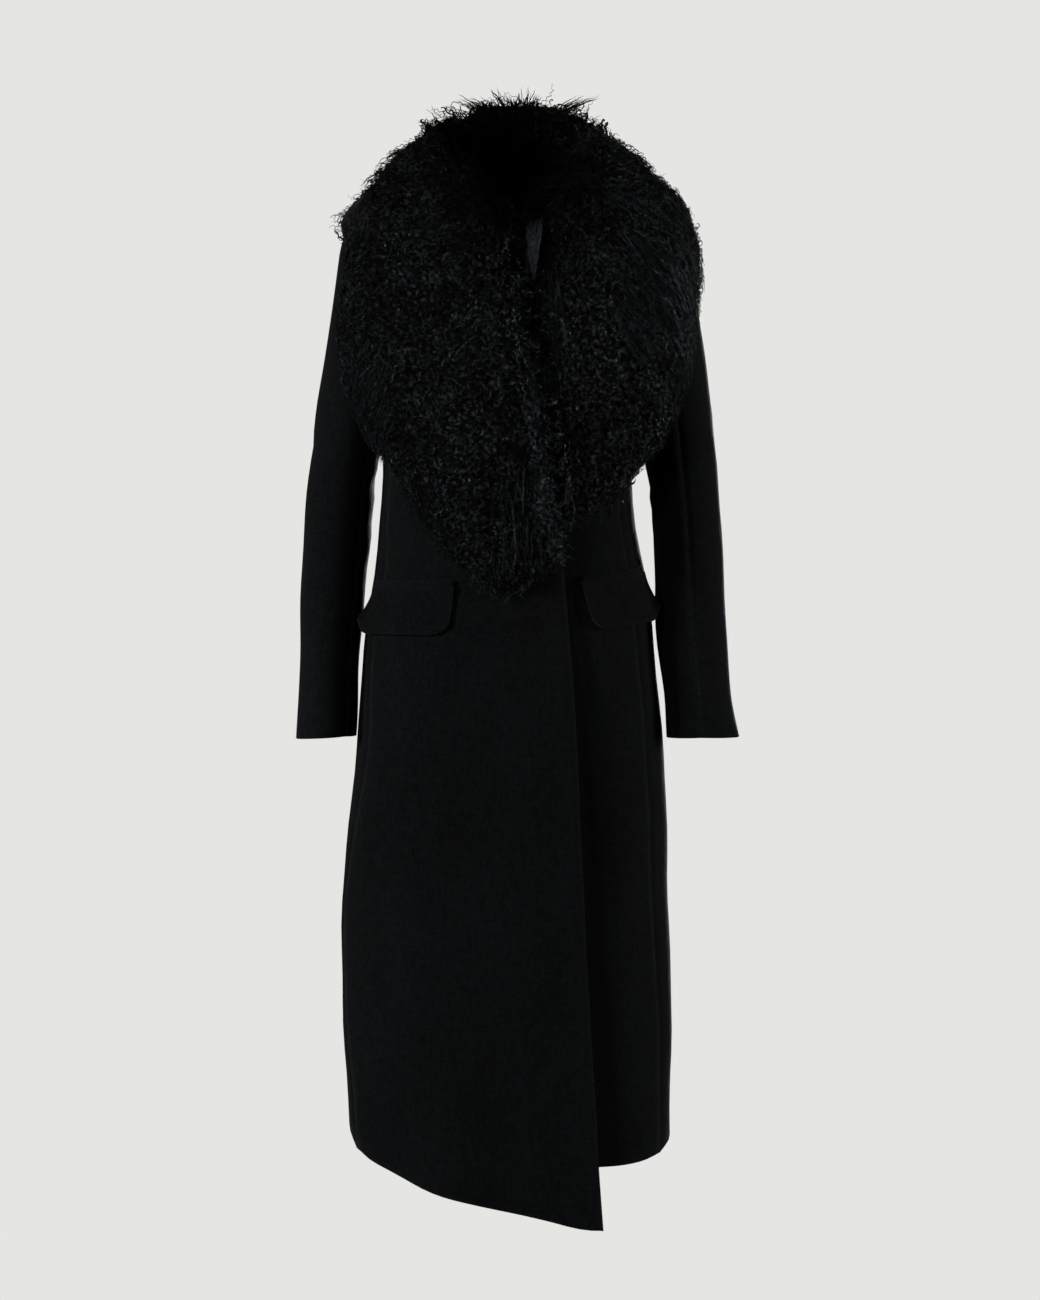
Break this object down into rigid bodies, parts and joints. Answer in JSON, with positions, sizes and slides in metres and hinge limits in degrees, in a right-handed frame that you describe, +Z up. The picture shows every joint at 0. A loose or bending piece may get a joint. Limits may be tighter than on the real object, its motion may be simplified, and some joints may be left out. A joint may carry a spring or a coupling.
{
  "type": "double-breasted wrap coat with fur collar",
  "caption": "Long black wool double-breasted wrap coat with a wide curly fur shawl collar, slim sleeves and flap pockets, in the hollow form of being worn.",
  "frame": {"origin": "between the shoulders, at the height of the neckline, where the wearer carries the coat", "axes": "+Z up, the fronts face -Y, the wearer's left is +X"},
  "size_m": [0.5079, 0.3463, 1.2828],
  "materials": {
    "wool": "matt napped double-faced wool, black",
    "fur": "long curly lamb fur, black, soft gloss along the locks"
  },
  "bodies": {
    "root": {"front_right_over": "wool", "front_left_under": "wool", "back_right": "wool", "back_left": "wool", "side_right": "wool", "side_left": "wool", "sleeve_upper_right": "wool", "sleeve_under_right": "wool", "sleeve_upper_left": "wool", "sleeve_under_left": "wool", "pocket_flap_right": "wool", "pocket_jet_right": "wool", "pocket_flap_left": "wool", "pocket_jet_left": "wool", "collar_stand": "wool", "lapel_fur_right": "fur", "lapel_fur_left": "fur", "collar_fur_back": "fur"}
  },
  "joints": []
}
